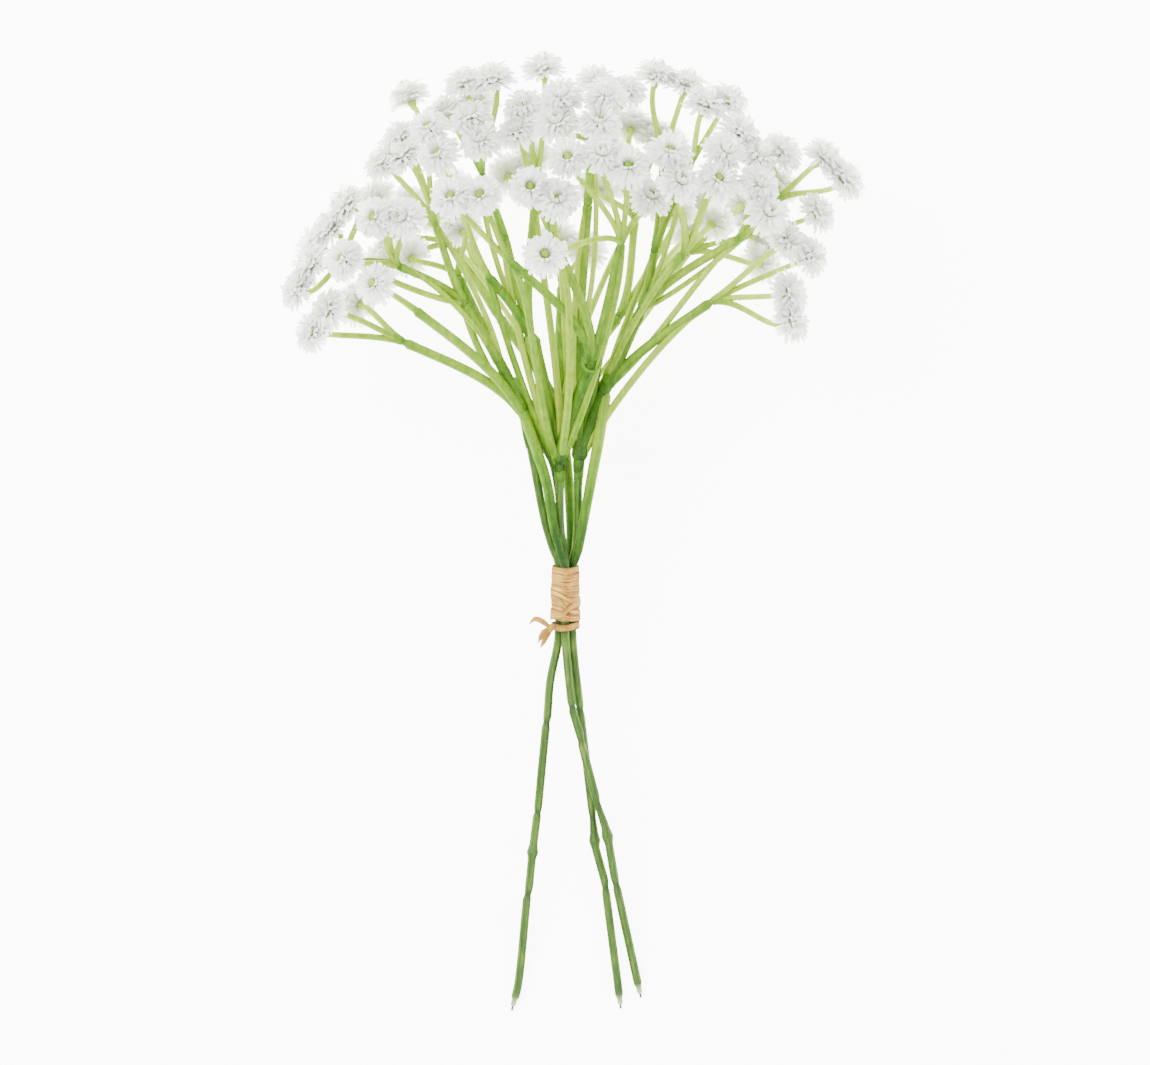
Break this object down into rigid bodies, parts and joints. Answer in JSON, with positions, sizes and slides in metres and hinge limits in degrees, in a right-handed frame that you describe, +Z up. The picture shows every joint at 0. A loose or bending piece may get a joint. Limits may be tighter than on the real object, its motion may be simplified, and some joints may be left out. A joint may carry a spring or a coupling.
{
  "type": "gypsophila bunch",
  "caption": "Artificial gypsophila bunch lying down: wire-cored green stems with forked sprays of layered white florets, held by a raffia tie.",
  "frame": {"origin": "on the surface that the bunch lies on, under the middle of its bounding box", "axes": "+Y from the cut ends to the flowers, +Z up from the surface, +X to the right as seen from above"},
  "size_m": [0.1826, 0.3014, 0.0877],
  "materials": {
    "petal_white": "soft matt white, slightly translucent",
    "spray_green": "satin light green moulded plastic",
    "stem_green": "satin dark green moulded plastic",
    "wire_steel": "dull dark wire",
    "raffia": "dry natural raffia strips"
  },
  "bodies": {
    "root": {"florets_01": "petal_white", "florets_02": "petal_white", "florets_03": "petal_white", "florets_04": "petal_white", "florets_05": "petal_white", "florets_06": "petal_white", "florets_07": "petal_white", "florets_08": "petal_white", "florets_09": "petal_white", "florets_10": "petal_white", "florets_11": "petal_white", "florets_12": "petal_white", "florets_13": "petal_white", "florets_14": "petal_white", "florets_15": "petal_white", "florets_16": "petal_white", "florets_17": "petal_white", "florets_18": "petal_white", "florets_19": "petal_white", "florets_20": "petal_white", "florets_21": "petal_white", "florets_22": "petal_white", "florets_23": "petal_white", "florets_24": "petal_white", "florets_25": "petal_white", "florets_26": "petal_white", "florets_27": "petal_white", "florets_28": "petal_white", "florets_29": "petal_white", "florets_30": "petal_white", "florets_31": "petal_white", "florets_32": "petal_white", "florets_33": "petal_white", "florets_34": "petal_white", "florets_35": "petal_white", "florets_36": "petal_white", "florets_37": "petal_white", "florets_38": "petal_white", "florets_39": "petal_white", "florets_40": "petal_white", "florets_41": "petal_white", "florets_42": "petal_white", "florets_43": "petal_white", "florets_44": "petal_white", "florets_45": "petal_white", "florets_46": "petal_white", "florets_47": "petal_white", "florets_48": "petal_white", "raffia_band": "raffia", "raffia_knot": "raffia", "spray_left": "spray_green", "spray_front": "spray_green", "spray_right": "spray_green", "spray_back": "spray_green", "stem_left": "stem_green", "stem_front": "stem_green", "stem_right": "stem_green", "wire_left": "wire_steel", "wire_front": "wire_steel", "wire_right": "wire_steel"}
  },
  "joints": []
}
